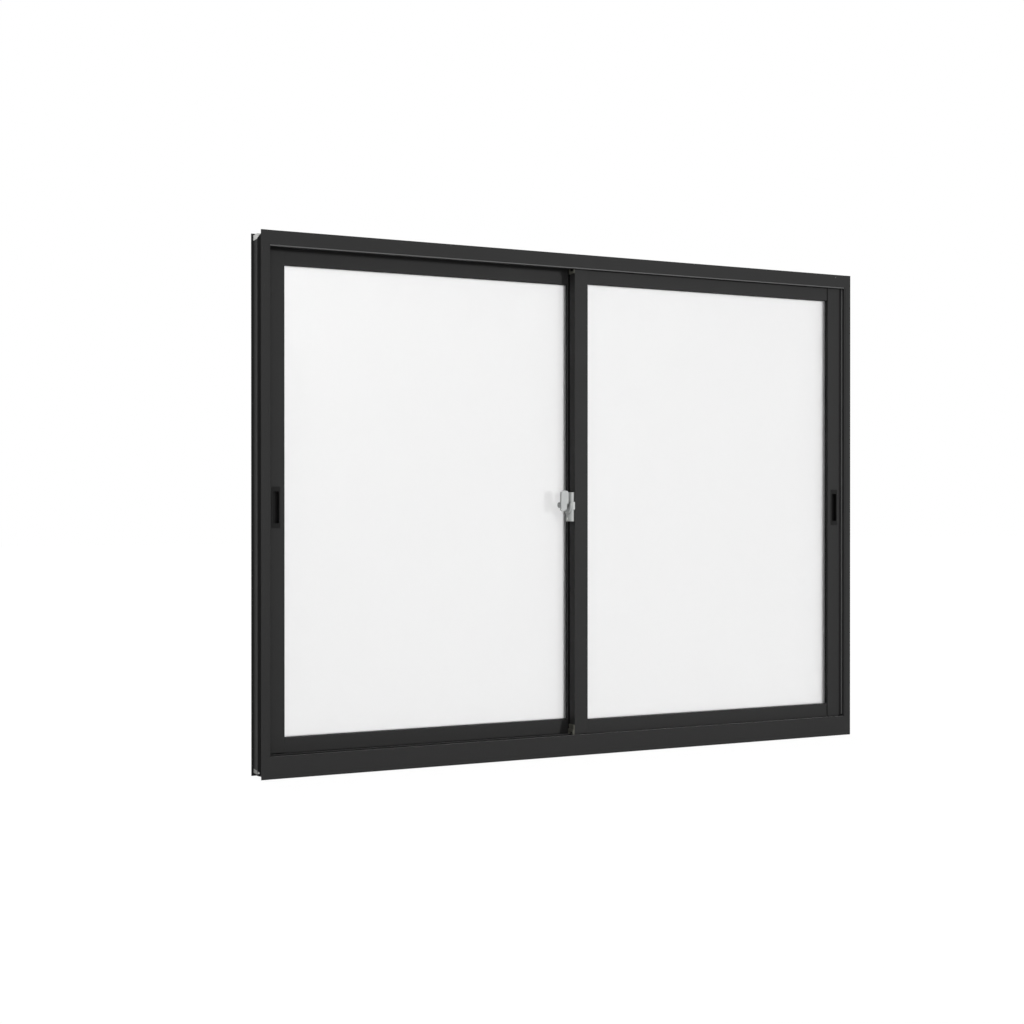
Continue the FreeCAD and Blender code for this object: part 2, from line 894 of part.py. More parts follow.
def lock_keeper():
    """Keeper on the outer sash's meeting stile: a fork that the turned cam enters."""
    stile_x = outer_sash_rest - sight_meeting
    cam_near = hub_far_x() + hub_length
    cam_far = cam_near - cam_thickness
    back = outer_sash_front + (sash_thickness - glazing_width) / 2 - keeper_gasket_gap
    fork = along_z(
        [
            (stile_x, outer_sash_front),
            (stile_x, back),
            (cam_far - keeper_side_gap - keeper_wall, back, edge_round),
            (cam_far - keeper_side_gap - keeper_wall, outer_sash_front),
            (cam_far - keeper_side_gap, outer_sash_front),
            (cam_far - keeper_side_gap, back - keeper_wall),
            (cam_near + keeper_side_gap, back - keeper_wall),
            (cam_near + keeper_side_gap, outer_sash_front),
        ],
        lock_z - keeper_height / 2,
        lock_z + keeper_height / 2,
    )
    return fork


def sash_pieces(face_y):
    """The pieces of a right-hand sash whose room face is at face_y."""
    return {
        "top_rail": top_rail(face_y),
        "bottom_rail": bottom_rail(face_y),
        "meeting_stile": meeting_stile(face_y),
        "side_stile": side_stile(face_y),
        "glass": glass(face_y),
        "gasket": gasket(face_y),
        "finger_pull": finger_pull(face_y),
        "roller_wheels": roller_wheels(face_y),
        "roller_housings": roller_housings(face_y),
        "top_guides": top_guides(face_y),
        "stile_caps": stile_caps(face_y),
    }


def main():
    os.makedirs("parts", exist_ok=True)
    jamb = right_jamb()
    jambs = (mirrored(jamb), jamb)
    save("left_jamb", jambs[0])
    save("right_jamb", jambs[1])
    save("head", head(jambs))
    save("sill", sill(jambs))
    save("corner_pads_top", corner_pads(frame_height - chamber_end, frame_height - pad_end))
    save("corner_pads_bottom", corner_pads(web_end, chamber_end))
    for name, piece in sash_pieces(room_sash_front).items():
        save("room_sash_" + name, piece)
    for name, piece in sash_pieces(outer_sash_front).items():
        save("outer_sash_" + name, outer_placed(piece))
    save("meeting_pile", meeting_pile())
    save("lock_base", lock_base())
    save("lock_pivot_cap", lock_pivot_cap())
    save("lock_lever", lock_lever())
    save("lock_keeper", lock_keeper())


main()
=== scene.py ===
import math

import bpy
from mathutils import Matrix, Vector


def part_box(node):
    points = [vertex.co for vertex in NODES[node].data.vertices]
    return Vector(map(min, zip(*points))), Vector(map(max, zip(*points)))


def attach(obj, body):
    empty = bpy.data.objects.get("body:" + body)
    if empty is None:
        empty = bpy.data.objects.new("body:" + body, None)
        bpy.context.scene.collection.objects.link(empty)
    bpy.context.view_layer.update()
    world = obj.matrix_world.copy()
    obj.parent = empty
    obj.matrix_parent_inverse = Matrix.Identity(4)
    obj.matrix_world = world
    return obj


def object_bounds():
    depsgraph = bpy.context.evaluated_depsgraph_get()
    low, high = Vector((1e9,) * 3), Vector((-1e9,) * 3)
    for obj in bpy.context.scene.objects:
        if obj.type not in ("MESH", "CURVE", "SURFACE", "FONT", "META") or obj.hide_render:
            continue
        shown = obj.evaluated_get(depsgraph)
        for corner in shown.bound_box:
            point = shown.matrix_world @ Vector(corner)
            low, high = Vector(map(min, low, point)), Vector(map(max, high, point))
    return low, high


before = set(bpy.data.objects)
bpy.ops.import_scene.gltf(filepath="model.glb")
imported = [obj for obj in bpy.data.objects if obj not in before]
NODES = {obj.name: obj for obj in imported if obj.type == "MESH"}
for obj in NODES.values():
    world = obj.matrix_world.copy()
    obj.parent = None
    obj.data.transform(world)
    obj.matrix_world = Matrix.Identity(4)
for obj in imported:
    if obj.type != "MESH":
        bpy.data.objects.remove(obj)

bl_info = {
    "name": "Sliding window dresser",
    "version": (1, 1, 0),
    "blender": (4, 5, 0),
    "location": "View3D > Sidebar > Window",
    "description": "Finishes, small fittings and studio for a two-sash sliding window",
    "category": "Object",
}

CAD_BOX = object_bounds()
MM = 0.001
FACING = 0.99  # least cosine at which a face looks one way

# Sizes of the CAD model
WEB_INSET = 13 * MM  # from the fin's edge to the jamb's web
CHAMBER_FRONT = 37 * MM  # from the room face to the front wall of the jamb's chamber
LIP_DEPTH = 7.5 * MM  # depth of the room lips
LIP_INSET = 20 * MM  # from the frame's edge to the end of the jamb's lip
FIN_REACH = 2 * MM  # from the frame's edge to the fin's edge
LOCK_BASE_WIDTH = 11.5 * MM

# Places of the screws
CORNER_SCREW_DEPTHS = (10 * MM, 28 * MM)  # behind the room face
CORNER_SCREW_RISE = 29 * MM  # above the jamb's lower end
CORNER_SCREW_DROP = 23 * MM  # below the jamb's upper end
FOOT_SCREW_INSET = 6.5 * MM  # from the fin's edge
FOOT_SCREW_RISE = 11.6 * MM  # above the jamb's lower end
LOCK_SCREW_RISE = 6 * MM  # above the base's lower end
LOCK_SCREW_DROP = 5 * MM  # below the base's upper end
LOCK_SCREW_INSET = 9 * MM  # in front of the base's back

# A screw's pan head, its crown and its cross recess
HEAD_SIDES = 28
CROWN_WIDTH = 0.45  # share of the head's height
CROWN_STEPS = 3
RECESS_LENGTH = 1.1  # share of the head's radius
RECESS_WIDTH = 0.28  # share of the head's radius
RECESS_DEPTH = 0.9  # share of the head's height, half of which lies above the head
SMOOTH_ANGLE = math.radians(35)

# Shapes of the seals
BRUSH_END_GAP = 20 * MM  # from the head's end
BRUSH_RISE = 5 * MM  # from the lip's edge to the brush's middle
BRUSH_BACKING = 1 * MM
BRUSH_INSET = 0.2  # share of the brush's height, where the pile leaves the backing
BRUSH_SPREAD = 1.3  # height of the pile's tips, against its root
STRIP_INSET = 0.6  # share of the strip's height
STRIP_CROWN = 0.2  # share of the strip's height
HEAD_SEAL_END_GAP = 0.4 * MM  # both ends together, between the jambs' lips
HEAD_SEAL_SIDE_GAP = 2 * MM  # both sides together, under the head's lip
HEAD_SEAL_ROUND = 0.5 * MM
JAMB_SEAL_END_GAP = 8 * MM  # both ends together, between head and sill
JAMB_SEAL_ROUND = 0.6 * MM
ROUND_STEPS = 3

# Detail of the finishes. Their grain is about its real size, which at the photo's distance is finer
# than a pixel (2.4 mm), so it shows only close up.
CLOUD_DETAIL = 3.0
GRAIN_DETAIL = 4.0
ROUGHNESS_SPREAD = 0.06
BUMP_STRENGTH = 0.5
GAP_SAMPLES = 8
# Sockets of a Mix node that mixes colours
MIX_SHARE, MIX_FIRST, MIX_SECOND, MIX_RESULT = 0, 6, 7, 2

PILE = {
    "roughness": 0.9, "gloss": 0.05, "cloud": (3, 0.25), "grain": (0.5, 0.15),
    "stretch": (1, 0.1, 1)}
# The lock's zinc paint, its colour darkened where parts stand close: painted shade.
ZINC_PAINT = {
    "roughness": 0.42, "gloss": 0.25, "cloud": (12, 0.03), "grain": (0.5, 0.01), "painted_shade": (8, 0.4)}
FOAM = {"roughness": 0.85, "gloss": 0.1, "grain": (0.8, 0.12)}
PVC = {"roughness": 0.5, "gloss": 0.2, "cloud": (30, 0.05), "grain": (0.5, 0.01)}

# Studio. The camera's place was fitted to the window's corners in the photo.
CAMERA_PLACE = (-1.6418, -3.1996, 0.5748)
SENSOR_WIDTH = 36  # mm
FOCAL_PIXELS = 1510
PHOTO_PIXELS = 1024
VIEW_REACH = 100  # metres
FLOOR_SIZE = 40  # metres
FLOOR_GAP = 0.2 * MM
FLOOR_GLOW = 1.03
PAPER = (0.9, 0.9, 0.9, 1)
WHITE = (1, 1, 1, 1)
LAMP_PLACE = (0, -3, 3)
# Broad far lamps, two in front and one behind:
# name, property with its strength, degrees to the right, degrees up, degrees across.
LAMPS = (
    ("right_lamp", "key", 28, 3, 6),
    ("left_lamp", "fill", -18, 3, 14),
    ("back_lamp", "back", 180, 25, 14),
)


def linear(hex_colour):
    """sRGB hex such as '3A3A3A' as a linear RGBA colour."""
    channels = [int(hex_colour[i:i + 2], 16) / 255 for i in (0, 2, 4)]
    return tuple(
        c / 12.92 if c <= 0.04045 else ((c + 0.055) / 1.055) ** 2.4 for c in channels) + (1.0,)


def add_node(tree, kind, values=None, links=None, **settings):
    """One node with its settings, its socket values and the sockets that feed it."""
    made = tree.nodes.new(kind)
    for name, value in settings.items():
        setattr(made, name, value)
    for name, value in (values or {}).items():
        made.inputs[name].default_value = value
    for name, source in (links or {}).items():
        tree.links.new(source, made.inputs[name])
    return made


def shaded(colour, factor):
    return [channel * factor for channel in colour[:3]] + [1.0]


def paint_gap_shade(tree, unshaded, reach, depth):
    """A colour darkened where other faces stand close, in gaps and recesses where shade falls:
    painted shade (reach in mm).
    """
    near = add_node(
        tree, "ShaderNodeAmbientOcclusion", {"Distance": reach * MM}, samples=GAP_SAMPLES)
    shade_factor = add_node(
        tree, "ShaderNodeMapRange", {"To Min": 1 - depth, "To Max": 1.0},
        {"Value": near.outputs["AO"]})
    mixed = add_node(
        tree, "ShaderNodeMix", {MIX_SHARE: 1.0},
        {MIX_FIRST: unshaded, MIX_SECOND: shade_factor.outputs["Result"]},
        data_type="RGBA", blend_type="MULTIPLY")
    return mixed.outputs[MIX_RESULT]


def finish(
        name, hex_colour, roughness, gloss, cloud, grain, stretch=(1, 1, 1), painted_shade=None,
        extra=None):
    """A material with uneven colour and roughness and a slight relief.

    cloud is the size in mm and the depth of the unevenness, grain the size and height in mm of the
    relief, the shade in gaps the reach in mm and the depth of painted shade beside other faces, and
    extra holds further values of the shader."""
    material = bpy.data.materials.new(name)
    material.use_nodes = True
    tree = material.node_tree
    tree.nodes.clear()
    colour = linear(hex_colour)
    place = add_node(tree, "ShaderNodeTexCoord").outputs["Object"]
    place = add_node(
        tree, "ShaderNodeMapping", {"Scale": stretch}, {"Vector": place}).outputs["Vector"]
    drift = add_node(
        tree, "ShaderNodeTexNoise", {"Scale": 1 / (cloud[0] * MM), "Detail": CLOUD_DETAIL},
        {"Vector": place}).outputs["Fac"]
    mixed = add_node(
        tree, "ShaderNodeMix",
        {MIX_FIRST: shaded(colour, 1 - cloud[1]), MIX_SECOND: shaded(colour, 1 + cloud[1])},
        {MIX_SHARE: drift}, data_type="RGBA")
    base = mixed.outputs[MIX_RESULT]
    # Painted shade: the colour is darkened where other faces stand close.
    if painted_shade:
        base = paint_gap_shade(tree, base, *painted_shade)
    dull = add_node(
        tree, "ShaderNodeMapRange",
        {"To Min": roughness - ROUGHNESS_SPREAD, "To Max": roughness + ROUGHNESS_SPREAD},
        {"Value": drift})
    relief = add_node(
        tree, "ShaderNodeTexNoise", {"Scale": 1 / (grain[0] * MM), "Detail": GRAIN_DETAIL},
        {"Vector": place}).outputs["Fac"]
    bump = add_node(
        tree, "ShaderNodeBump", {"Strength": BUMP_STRENGTH, "Distance": grain[1] * MM},
        {"Height": relief})
    surface = add_node(
        tree, "ShaderNodeBsdfPrincipled", {"Specular IOR Level": gloss, **(extra or {})},
        {"Base Color": base, "Roughness": dull.outputs["Result"], "Normal": bump.outputs["Normal"]})
    add_node(tree, "ShaderNodeOutputMaterial", links={"Surface": surface.outputs["BSDF"]})
    return material


def dress(material, names):
    """Give CAD nodes one finish."""
    for name in names:
        slots = NODES[name].data.materials
        slots.clear()
        slots.append(material)


def paired(*names):
    """The same pieces of both sashes."""
    return [sash + "_" + name for sash in ("room_sash", "outer_sash") for name in names]


def place_piece(obj, name, body, material):
    """Name a modelled piece, give it its finish and let it ride a body."""
    obj.name = name
    obj.data.name = name
    obj.data.materials.clear()
    obj.data.materials.append(material)
    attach(obj, body)


def only(obj):
    """Make one object the selected and active one."""
    bpy.ops.object.select_all(action="DESELECT")
    obj.select_set(True)
    bpy.context.view_layer.objects.active = obj


def add_block(middle, size):
    """A box of a given size about its middle."""
    bpy.ops.object.select_all(action="DESELECT")
    bpy.ops.mesh.primitive_cube_add(size=1, location=middle)
    block = bpy.context.object
    block.dimensions = size
    bpy.ops.object.transform_apply(location=True, rotation=True, scale=True)
    return block


def select_faces(obj, outward):
    """Enter edit mode with only the faces that look one way selected."""
    only(obj)
    bpy.ops.object.mode_set(mode="EDIT")
    bpy.ops.mesh.select_mode(type="FACE")
    bpy.ops.mesh.select_all(action="DESELECT")
    bpy.ops.object.mode_set(mode="OBJECT")
    for face in obj.data.polygons:
        face.select = face.normal.dot(Vector(outward)) > FACING
    bpy.ops.object.mode_set(mode="EDIT")


def raise_face(obj, outward, inset, height, spread=1):
    """Inset the face that looks one way, draw it out and stretch its far end in height."""
    select_faces(obj, outward)
    bpy.ops.mesh.inset(thickness=inset)
    move = tuple(height * part for part in outward)
    bpy.ops.mesh.extrude_region_move(TRANSFORM_OT_translate={"value": move})
    if spread != 1:
        bpy.ops.transform.resize(value=(1, 1, spread))
    bpy.ops.object.mode_set(mode="OBJECT")


def round_face(obj, outward, radius):
    """Round the edges of the face that looks one way."""
    select_faces(obj, outward)
    bpy.ops.mesh.bevel(offset=radius, segments=ROUND_STEPS, affect="EDGES")
    bpy.ops.object.mode_set(mode="OBJECT")


def join(objects):
    """Several objects as one mesh."""
    bpy.ops.object.select_all(action="DESELECT")
    for obj in objects:
        obj.select_set(True)
    bpy.context.view_layer.objects.active = objects[0]
    bpy.ops.object.join()
    return bpy.context.object


def pan_head(radius, height):
    """A pan-head screw's head on the XY plane, pointing up, with a cross recess."""
    bpy.ops.object.select_all(action="DESELECT")
    bpy.ops.mesh.primitive_cylinder_add(
        vertices=HEAD_SIDES, radius=radius, depth=height, location=(0, 0, height / 2))
    head = bpy.context.object
    bpy.ops.object.transform_apply(location=True, rotation=True, scale=True)
    crown = head.modifiers.new("crown", "BEVEL")
    crown.width = height * CROWN_WIDTH
    crown.segments = CROWN_STEPS
    crown.limit_method = "ANGLE"
    bpy.ops.object.modifier_apply(modifier=crown.name)
    for turn in (0, math.radians(90)):
        only(head)
        bpy.ops.mesh.primitive_cube_add(size=1, location=(0, 0, height))
        arm = bpy.context.object
        arm.dimensions = (radius * RECESS_LENGTH, radius * RECESS_WIDTH, height * RECESS_DEPTH)
        bpy.ops.transform.rotate(value=turn, orient_axis="Z", center_override=(0, 0, 0))
        bpy.ops.object.transform_apply(location=True, rotation=True, scale=True)
        only(head)
        recess = head.modifiers.new("recess", "BOOLEAN")
        recess.operation = "DIFFERENCE"
        recess.solver = "EXACT"
        recess.object = arm
        bpy.ops.object.modifier_apply(modifier=recess.name)
        only(arm)
        bpy.ops.object.delete()
    only(head)
    bpy.ops.object.shade_smooth_by_angle(angle=SMOOTH_ANGLE)
    return head


def set_screws(radius, height, places):
    """Screw heads at (point, outward direction) places, as one object."""
    pattern = pan_head(radius, height)
    copies = []
    for point, outward in places:
        copy = pattern.copy()
        copy.data = pattern.data.copy()
        bpy.context.collection.objects.link(copy)
        copy.rotation_euler = Vector(outward).to_track_quat("Z", "Y").to_euler()
        copy.location = point
        only(copy)
        bpy.ops.object.transform_apply(location=True, rotation=True, scale=True)
        copies.append(copy)
    screws = join(copies)
    only(pattern)
    bpy.ops.object.delete()
    return screws


def seen_rays(tree):
    """1 for rays that show the background: from the camera, in a reflection or through glass."""
    path = add_node(tree, "ShaderNodeLightPath")
    either = add_node(
        tree, "ShaderNodeMath", None,
        {0: path.outputs["Is Camera Ray"], 1: path.outputs["Is Glossy Ray"]}, operation="MAXIMUM")
    return add_node(
        tree, "ShaderNodeMath", None,
        {0: either.outputs[0], 1: path.outputs["Is Transmission Ray"]},
        operation="MAXIMUM").outputs[0]


class WindowFinishes(bpy.types.PropertyGroup):
    paint: bpy.props.StringProperty(
        name="Paint", description="Coating on the aluminium, sRGB hex", default="252525")
    lock: bpy.props.StringProperty(
        name="Lock", description="Paint on the lock's lever and keeper, sRGB hex", default="8A8C8B")
    # The base's colour is the lever's paint made lighter: painted light.
    lock_base: bpy.props.StringProperty(
        name="Lock base", description="Paint on the lock's base, sRGB hex", default="959796")
    lock_cap: bpy.props.StringProperty(
        name="Lock cap", description="Cap on the lock's pin, sRGB hex", default="848685")
    pull: bpy.props.StringProperty(
        name="Pull", description="Finger pulls, sRGB hex", default="161616")
    gasket: bpy.props.StringProperty(
        name="Gasket", description="Glazing gasket, sRGB hex", default="101010")
    glass: bpy.props.StringProperty(
        name="Glass", description="Body of the pane, sRGB hex", default="E8E8E8")
    clear: bpy.props.FloatProperty(
        name="Clear", description="Share of light that passes the pane", default=0.86,
        subtype="FACTOR")
    nylon: bpy.props.StringProperty(
        name="Nylon", description="Rollers and guides, sRGB hex", default="C4C4BE")
    cap: bpy.props.StringProperty(
        name="Cap", description="End caps of the meeting stiles, sRGB hex", default="464640")
    pad: bpy.props.StringProperty(
        name="Pad", description="Pads at the upper corners, sRGB hex", default="CACAC8")
    foot_pad: bpy.props.StringProperty(
        name="Foot pad", description="Pads at the lower corners, sRGB hex", default="8A8A88")
    steel: bpy.props.StringProperty(
        name="Steel", description="Plated screws, sRGB hex", default="C8C8C6")
    # The pile's near-black also serves the meeting strip, which paints the shade between the
    # sashes.
    pile: bpy.props.StringProperty(
        name="Pile", description="Brush seals, sRGB hex", default="121212")
    seal: bpy.props.StringProperty(
        name="Seal", description="Seal under the head, sRGB hex", default="444444")
    # The jamb seals are the head seal's PVC made paler to show bright in the lips' shadow: painted
    # light.
    jamb_seal: bpy.props.StringProperty(
        name="Jamb seal", description="Seals on the jambs' lips, sRGB hex", default="666666")


class WindowDetails(bpy.types.PropertyGroup):
    screw_radius: bpy.props.FloatProperty(
        name="Screw radius", description="Radius of a frame screw's head", default=3.6 * MM,
        subtype="DISTANCE")
    screw_height: bpy.props.FloatProperty(
        name="Screw height", description="Height of a frame screw's head", default=2.0 * MM,
        subtype="DISTANCE")
    foot_screw_radius: bpy.props.FloatProperty(
        name="Foot screw radius", description="Radius of a jamb foot screw's head",
        default=2.4 * MM, subtype="DISTANCE")
    foot_screw_height: bpy.props.FloatProperty(
        name="Foot screw height", description="Height of a jamb foot screw's head",
        default=1.2 * MM, subtype="DISTANCE")
    lock_screw_radius: bpy.props.FloatProperty(
        name="Lock screw radius", description="Radius of a lock screw's head", default=2.8 * MM,
        subtype="DISTANCE")
    lock_screw_height: bpy.props.FloatProperty(
        name="Lock screw height", description="Height of a lock screw's head", default=0.8 * MM,
        subtype="DISTANCE")
    pile_height: bpy.props.FloatProperty(
        name="Pile height", description="Height of a brush seal", default=5.0 * MM,
        subtype="DISTANCE")
    pile_depth: bpy.props.FloatProperty(
        name="Pile depth", description="Reach of a brush seal from its lip", default=3.5 * MM,
        subtype="DISTANCE")
    # The meeting strip paints the shade in the gap between the sashes.
    strip_width: bpy.props.FloatProperty(
        name="Strip width", description="Width of the meeting seal strip", default=8.0 * MM,
        subtype="DISTANCE")
    strip_height: bpy.props.FloatProperty(
        name="Strip height", description="Height of the meeting seal strip", default=0.5 * MM,
        subtype="DISTANCE")
    lip_height: bpy.props.FloatProperty(
        name="Lip height", description="Height of the seal under the head", default=2.2 * MM,
        subtype="DISTANCE")
    jamb_seal_width: bpy.props.FloatProperty(
        name="Jamb seal width", description="Width of a jamb's seal", default=2.6 * MM,
        subtype="DISTANCE")
    jamb_seal_depth: bpy.props.FloatProperty(
        name="Jamb seal depth", description="Reach of a jamb's seal from its lip",
        default=4.0 * MM, subtype="DISTANCE")


class WindowStudio(bpy.types.PropertyGroup):
    azimuth: bpy.props.FloatProperty(
        name="Azimuth", description="Turn of the camera from square on",
        default=math.radians(25), subtype="ANGLE")
    tilt: bpy.props.FloatProperty(
        name="Tilt", description="Downward tilt of the camera", default=math.radians(0.17),
        subtype="ANGLE")
    lens: bpy.props.FloatProperty(
        name="Lens", description="Focal length in millimetres",
        default=SENSOR_WIDTH * FOCAL_PIXELS / PHOTO_PIXELS, subtype="DISTANCE_CAMERA")
    sky: bpy.props.FloatProperty(
        name="Sky", description="Strength of the light from all round", default=0.7)
    key: bpy.props.FloatProperty(
        name="Key", description="Strength of the lamp on the right", default=2.0)
    fill: bpy.props.FloatProperty(
        name="Fill", description="Strength of the lamp on the left", default=0.95)
    back: bpy.props.FloatProperty(
        name="Back", description="Strength of the lamp behind the window", default=1.5)
    floor: bpy.props.FloatProperty(
        name="Floor", description="Share of the floor's white that shadows don't touch",
        default=0.93, subtype="FACTOR")


class WINDOW_OT_paint(bpy.types.Operator):
    """Matt coating on the frame and the sashes"""
    bl_idname = "window.paint"
    bl_label = "Paint the aluminium"

    def execute(self, context):
        # Powder-coated aluminium: an even dark grey, matt face on, that lights up seen edge on.
        material = finish(
            "matt_powder_coat", context.scene.window_finishes.paint, roughness=0.45, gloss=0.03,
            cloud=(70, 0.04), grain=(1.2, 0.012),
            extra={"Sheen Weight": 0.3, "Sheen Roughness": 0.15})
        dress(material, ["left_jamb", "right_jamb", "head", "sill"])
        dress(material, paired("top_rail", "bottom_rail", "meeting_stile", "side_stile"))
        return {"FINISHED"}


class WINDOW_OT_glaze(bpy.types.Operator):
    """Panes, their black gaskets and the pile between the sashes"""
    bl_idname = "window.glaze"
    bl_label = "Glaze the sashes"

    def execute(self, context):
        finishes = context.scene.window_finishes
        # Etched glass: pale and even, passes the light behind it and blurs what stands there.
        # Its IOR is below the 1.52 of real glass, matched to the photo's even panes.
        material = finish(
            "etched_float_glass", finishes.glass, roughness=0.5, gloss=0.3,
            cloud=(90, 0.006), grain=(0.4, 0.002),
            extra={"IOR": 1.25, "Transmission Weight": finishes.clear})
        dress(material, paired("glass"))
        # Extruded EPDM: black, matt, with a fine dusty grain.
        material = finish(
            "black_epdm_gasket", finishes.gasket, roughness=0.75, gloss=0.1,
            cloud=(20, 0.15), grain=(0.3, 0.02))
        dress(material, paired("gasket"))
        # Polypropylene pile: dark fibres that stand across the strip and catch little light.
        dress(finish("polypropylene_pile", finishes.pile, **PILE), ["meeting_pile"])
        return {"FINISHED"}


class WINDOW_OT_fittings(bpy.types.Operator):
    """Finishes of the lock, the pulls, the rollers, the caps and the pads"""
    bl_idname = "window.fittings"
    bl_label = "Finish the fittings"

    def execute(self, context):
        finishes = context.scene.window_finishes
        # Painted zinc casting: light silver grey, satin, faintly pebbled, its colour darkened where
        # the parts stand close as painted shade.
        material = finish("silver_grey_zinc_paint", finishes.lock, **ZINC_PAINT)
        dress(material, ["lock_lever", "lock_keeper"])
        # Painted zinc casting of the base: the lever's paint made a shade lighter, as the photo
        # shows it, which stands in for how light falls on the base: painted light.
        dress(finish("light_grey_zinc_paint", finishes.lock_base, **ZINC_PAINT), ["lock_base"])
        # Moulded polyamide: mid grey, dull, with a fine spark-eroded grain.
        material = finish(
            "grey_polyamide_cap", finishes.lock_cap, roughness=0.55, gloss=0.2,
            cloud=(6, 0.05), grain=(0.3, 0.015))
        dress(material, ["lock_pivot_cap"])
        # Moulded ABS: near black, dull, with a leather-like moulding grain, its colour darkened in
        # the finger cup as painted shade.
        material = finish(
            "black_abs_pull", finishes.pull, roughness=0.6, gloss=0.05,
            cloud=(15, 0.06), grain=(0.6, 0.03), painted_shade=(15, 0.6))
        dress(material, paired("finger_pull"))
        # Moulded polyamide end caps: olive grey, dull.
        material = finish(
            "olive_polyamide_cap", finishes.cap, roughness=0.6, gloss=0.1,
            cloud=(10, 0.06), grain=(0.4, 0.02))
        dress(material, paired("stile_caps"))
        # Acetal: milky white, waxy sheen.
        material = finish(
            "natural_acetal", finishes.nylon, roughness=0.4, gloss=0.4,
            cloud=(15, 0.03), grain=(0.5, 0.005))
        dress(material, paired("roller_wheels", "roller_housings", "top_guides"))
        # Closed-cell foam: pale, matt, with small pores.
        material = finish("pale_foam_pad", finishes.pad, cloud=(4, 0.06), **FOAM)
        dress(material, ["corner_pads_top"])
        # Closed-cell foam: mid grey, matt, with small pores.
        material = finish("grey_foam_pad", finishes.foot_pad, cloud=(4, 0.08), **FOAM)
        dress(material, ["corner_pads_bottom"])
        return {"FINISHED"}


class WINDOW_OT_screws(bpy.types.Operator):
    """Screws of the frame's corners, the jambs' feet and the lock"""
    bl_idname = "window.screws"
    bl_label = "Set the screws"

    def execute(self, context):
        details = context.scene.window_details
        # Zinc-plated steel: bright, with a soft brushed haze.
        material = finish(
            "zinc_plated_steel", context.scene.window_finishes.steel, roughness=0.32, gloss=0.5,
            cloud=(2, 0.05), grain=(0.2, 0.004), extra={"Metallic": 1.0})

        jamb_low, jamb_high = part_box("left_jamb")
        web = jamb_low[0] + WEB_INSET
        places = []
        for side in (-1, 1):
            for depth in CORNER_SCREW_DEPTHS:
                for z in (jamb_low[2] + CORNER_SCREW_RISE, jamb_high[2] - CORNER_SCREW_DROP):
                    places.append(((-side * web, jamb_low[1] + depth, z), (side, 0, 0)))
        screws = set_screws(details.screw_radius, details.screw_height, places)
        place_piece(screws, "frame_corner_screws", "frame", material)

        foot = jamb_low[0] + FOOT_SCREW_INSET
        y = jamb_low[1] + CHAMBER_FRONT
        z = jamb_low[2] + FOOT_SCREW_RISE
        places = [((x, y, z), (0, -1, 0)) for x in (foot, -foot)]
        screws = set_screws(details.foot_screw_radius, details.foot_screw_height, places)
        place_piece(screws, "jamb_foot_screws", "frame", material)

        base_low, base_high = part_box("lock_base")
        x = base_high[0] - LOCK_BASE_WIDTH
        y = base_high[1] - LOCK_SCREW_INSET
        heights = (base_low[2] + LOCK_SCREW_RISE, base_high[2] - LOCK_SCREW_DROP)
        places = [((x, y, z), (-1, 0, 0)) for z in heights]
        screws = set_screws(details.lock_screw_radius, details.lock_screw_height, places)
        place_piece(screws, "lock_base_screws", "room_sash", material)
        return {"FINISHED"}


class WINDOW_OT_seals(bpy.types.Operator):
    """Brush seals of head and sill, the dark strip that paints the shade where the sashes meet, and
    the grey seals
    """
    bl_idname = "window.seals"
    bl_label = "Fit the seals"

    def execute(self, context):
        finishes = context.scene.window_finishes
        details = context.scene.window_details
        head_low, head_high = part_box("head")
        sill_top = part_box("sill")[1][2]
        lip_back = head_low[1] + LIP_DEPTH
        lip_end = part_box("right_jamb")[1][0] - FIN_REACH - LIP_INSET

        # Polypropylene pile: dark fibres that stand out from a woven backing.
        material = finish("brush_seal_pile", finishes.pile, **PILE)
        size = (2 * (head_high[0] - BRUSH_END_GAP), BRUSH_BACKING, details.pile_height)
        for name, z in (
                ("head_brush_seal", head_low[2] + BRUSH_RISE),
                ("sill_brush_seal", sill_top - BRUSH_RISE)):
            brush = add_block((0, lip_back + BRUSH_BACKING / 2, z), size)
            raise_face(
                brush, (0, 1, 0), details.pile_height * BRUSH_INSET,
                details.pile_depth - BRUSH_BACKING, BRUSH_SPREAD)
            place_piece(brush, name, "frame", material)

        # A dark pile strip on the outer meeting stile's front face, where the gap between the
        # sashes lies in shade: it paints that shade.
        stile_low, stile_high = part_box("outer_sash_meeting_stile")
        middle = (
            stile_low[0] + details.strip_width / 2,
            stile_low[1] - details.strip_height / 2,
            (stile_low[2] + stile_high[2]) / 2)
        size = (details.strip_width, details.strip_height, stile_high[2] - stile_low[2])
        strip = add_block(middle, size)
        raise_face(
            strip, (0, -1, 0), details.strip_height * STRIP_INSET,
            details.strip_height * STRIP_CROWN)
        place_piece(strip, "meeting_seal_strip", "outer_sash", material)

        # Co-extruded PVC: dark grey, dull, a paler line along the head's lower edge.
        material = finish("grey_pvc_seal", finishes.seal, **PVC)
        middle = (0, head_low[1] + LIP_DEPTH / 2, head_low[2] - details.lip_height / 2)
        size = (
            2 * lip_end - HEAD_SEAL_END_GAP, LIP_DEPTH - HEAD_SEAL_SIDE_GAP, details.lip_height)
        seal = add_block(middle, size)
        round_face(seal, (0, 0, -1), HEAD_SEAL_ROUND)
        place_piece(seal, "head_seal_lip", "frame", material)

        # Co-extruded PVC: the head seal's material made paler, a line between the jamb's lip and
        # the stile that shows bright in the lip's shadow: painted light.
        material = finish("light_grey_pvc_seal", finishes.jamb_seal, **PVC)
        tall = head_low[2] - sill_top
        size = (details.jamb_seal_width, details.jamb_seal_depth, tall - JAMB_SEAL_END_GAP)
        for name, side in (("left_jamb_seal", -1), ("right_jamb_seal", 1)):
            middle = (
                side * lip_end, lip_back + details.jamb_seal_depth / 2, sill_top + tall / 2)
            seal = add_block(middle, size)
            round_face(seal, (0, 1, 0), JAMB_SEAL_ROUND)
            place_piece(seal, name, "frame", material)
        return {"FINISHED"}


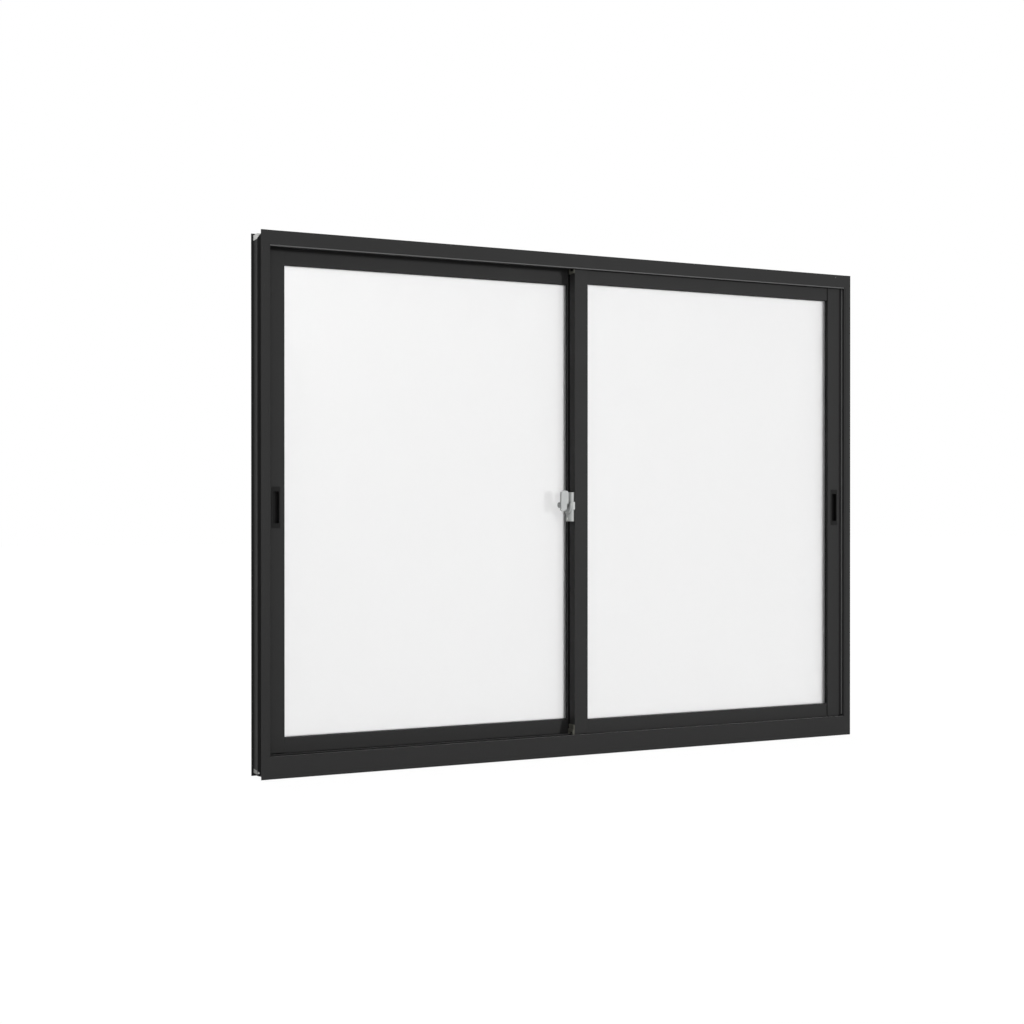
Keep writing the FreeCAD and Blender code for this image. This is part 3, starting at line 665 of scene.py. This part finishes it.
class WINDOW_OT_studio(bpy.types.Operator):
    """Floor, soft light and the camera"""
    bl_idname = "window.studio"
    bl_label = "Set the studio"

    def execute(self, context):
        scene = context.scene
        studio = scene.window_studio
        scene.view_settings.view_transform = "Standard"

        bpy.ops.object.select_all(action="DESELECT")
        bpy.ops.mesh.primitive_plane_add(
            size=FLOOR_SIZE, location=(0, 0, CAD_BOX[0][2] - FLOOR_GAP))
        floor = context.object
        floor.name = "studio_floor"
        # White paper floor: shows as plain white and keeps a faint shadow of the window.
        material = bpy.data.materials.new("white_studio_floor")
        material.use_nodes = True
        tree = material.node_tree
        tree.nodes.clear()
        paper = add_node(tree, "ShaderNodeBsdfDiffuse", {"Color": PAPER})
        glow = add_node(tree, "ShaderNodeEmission", {"Color": WHITE, "Strength": FLOOR_GLOW})
        share = add_node(
            tree, "ShaderNodeMath", {1: studio.floor}, {0: seen_rays(tree)}, operation="MULTIPLY")
        mix = add_node(
            tree, "ShaderNodeMixShader", None,
            {0: share.outputs[0], 1: paper.outputs["BSDF"], 2: glow.outputs["Emission"]})
        add_node(tree, "ShaderNodeOutputMaterial", links={"Surface": mix.outputs["Shader"]})
        floor.data.materials.append(material)

        world = bpy.data.worlds.new("white_studio")
        scene.world = world
        world.use_nodes = True
        tree = world.node_tree
        tree.nodes.clear()
        lit = add_node(tree, "ShaderNodeBackground", {"Color": WHITE, "Strength": studio.sky})
        white = add_node(tree, "ShaderNodeBackground", {"Color": WHITE, "Strength": 1.0})
        mix = add_node(
            tree, "ShaderNodeMixShader", None,
            {0: seen_rays(tree), 1: lit.outputs["Background"], 2: white.outputs["Background"]})
        add_node(tree, "ShaderNodeOutputWorld", links={"Surface": mix.outputs["Shader"]})

        for name, strength, right, up, across in LAMPS:
            bpy.ops.object.light_add(type="SUN", location=LAMP_PLACE)
            lamp = context.object
            lamp.name = name
            lamp.data.energy = getattr(studio, strength)
            lamp.data.angle = math.radians(across)
            lamp.rotation_euler = (math.radians(90 - up), 0, math.radians(right))

        bpy.ops.object.camera_add(
            location=CAMERA_PLACE,
            rotation=(math.radians(90) - studio.tilt, 0, -studio.azimuth))
        camera = context.object
        camera.data.sensor_width = SENSOR_WIDTH
        camera.data.lens = studio.lens
        camera.data.clip_end = VIEW_REACH
        scene.camera = camera
        return {"FINISHED"}


class WINDOW_PT_panel(bpy.types.Panel):
    """Window tools in the sidebar"""
    bl_label = "Sliding window"
    bl_space_type = "VIEW_3D"
    bl_region_type = "UI"
    bl_category = "Window"

    def draw(self, context):
        for operator in OPERATORS:
            self.layout.operator(operator.bl_idname)


OPERATORS = (
    WINDOW_OT_paint, WINDOW_OT_glaze, WINDOW_OT_fittings, WINDOW_OT_screws, WINDOW_OT_seals,
    WINDOW_OT_studio)
CLASSES = (WindowFinishes, WindowDetails, WindowStudio) + OPERATORS + (WINDOW_PT_panel,)


def register():
    for item in CLASSES:
        bpy.utils.register_class(item)
    bpy.types.Scene.window_finishes = bpy.props.PointerProperty(type=WindowFinishes)
    bpy.types.Scene.window_details = bpy.props.PointerProperty(type=WindowDetails)
    bpy.types.Scene.window_studio = bpy.props.PointerProperty(type=WindowStudio)


def unregister():
    del bpy.types.Scene.window_studio
    del bpy.types.Scene.window_details
    del bpy.types.Scene.window_finishes
    for item in reversed(CLASSES):
        bpy.utils.unregister_class(item)


def main():
    register()
    bpy.ops.window.paint()
    bpy.ops.window.glaze()
    bpy.ops.window.fittings()
    bpy.ops.window.screws()
    bpy.ops.window.seals()
    bpy.ops.window.studio()


if __name__ == "__main__":
    main()
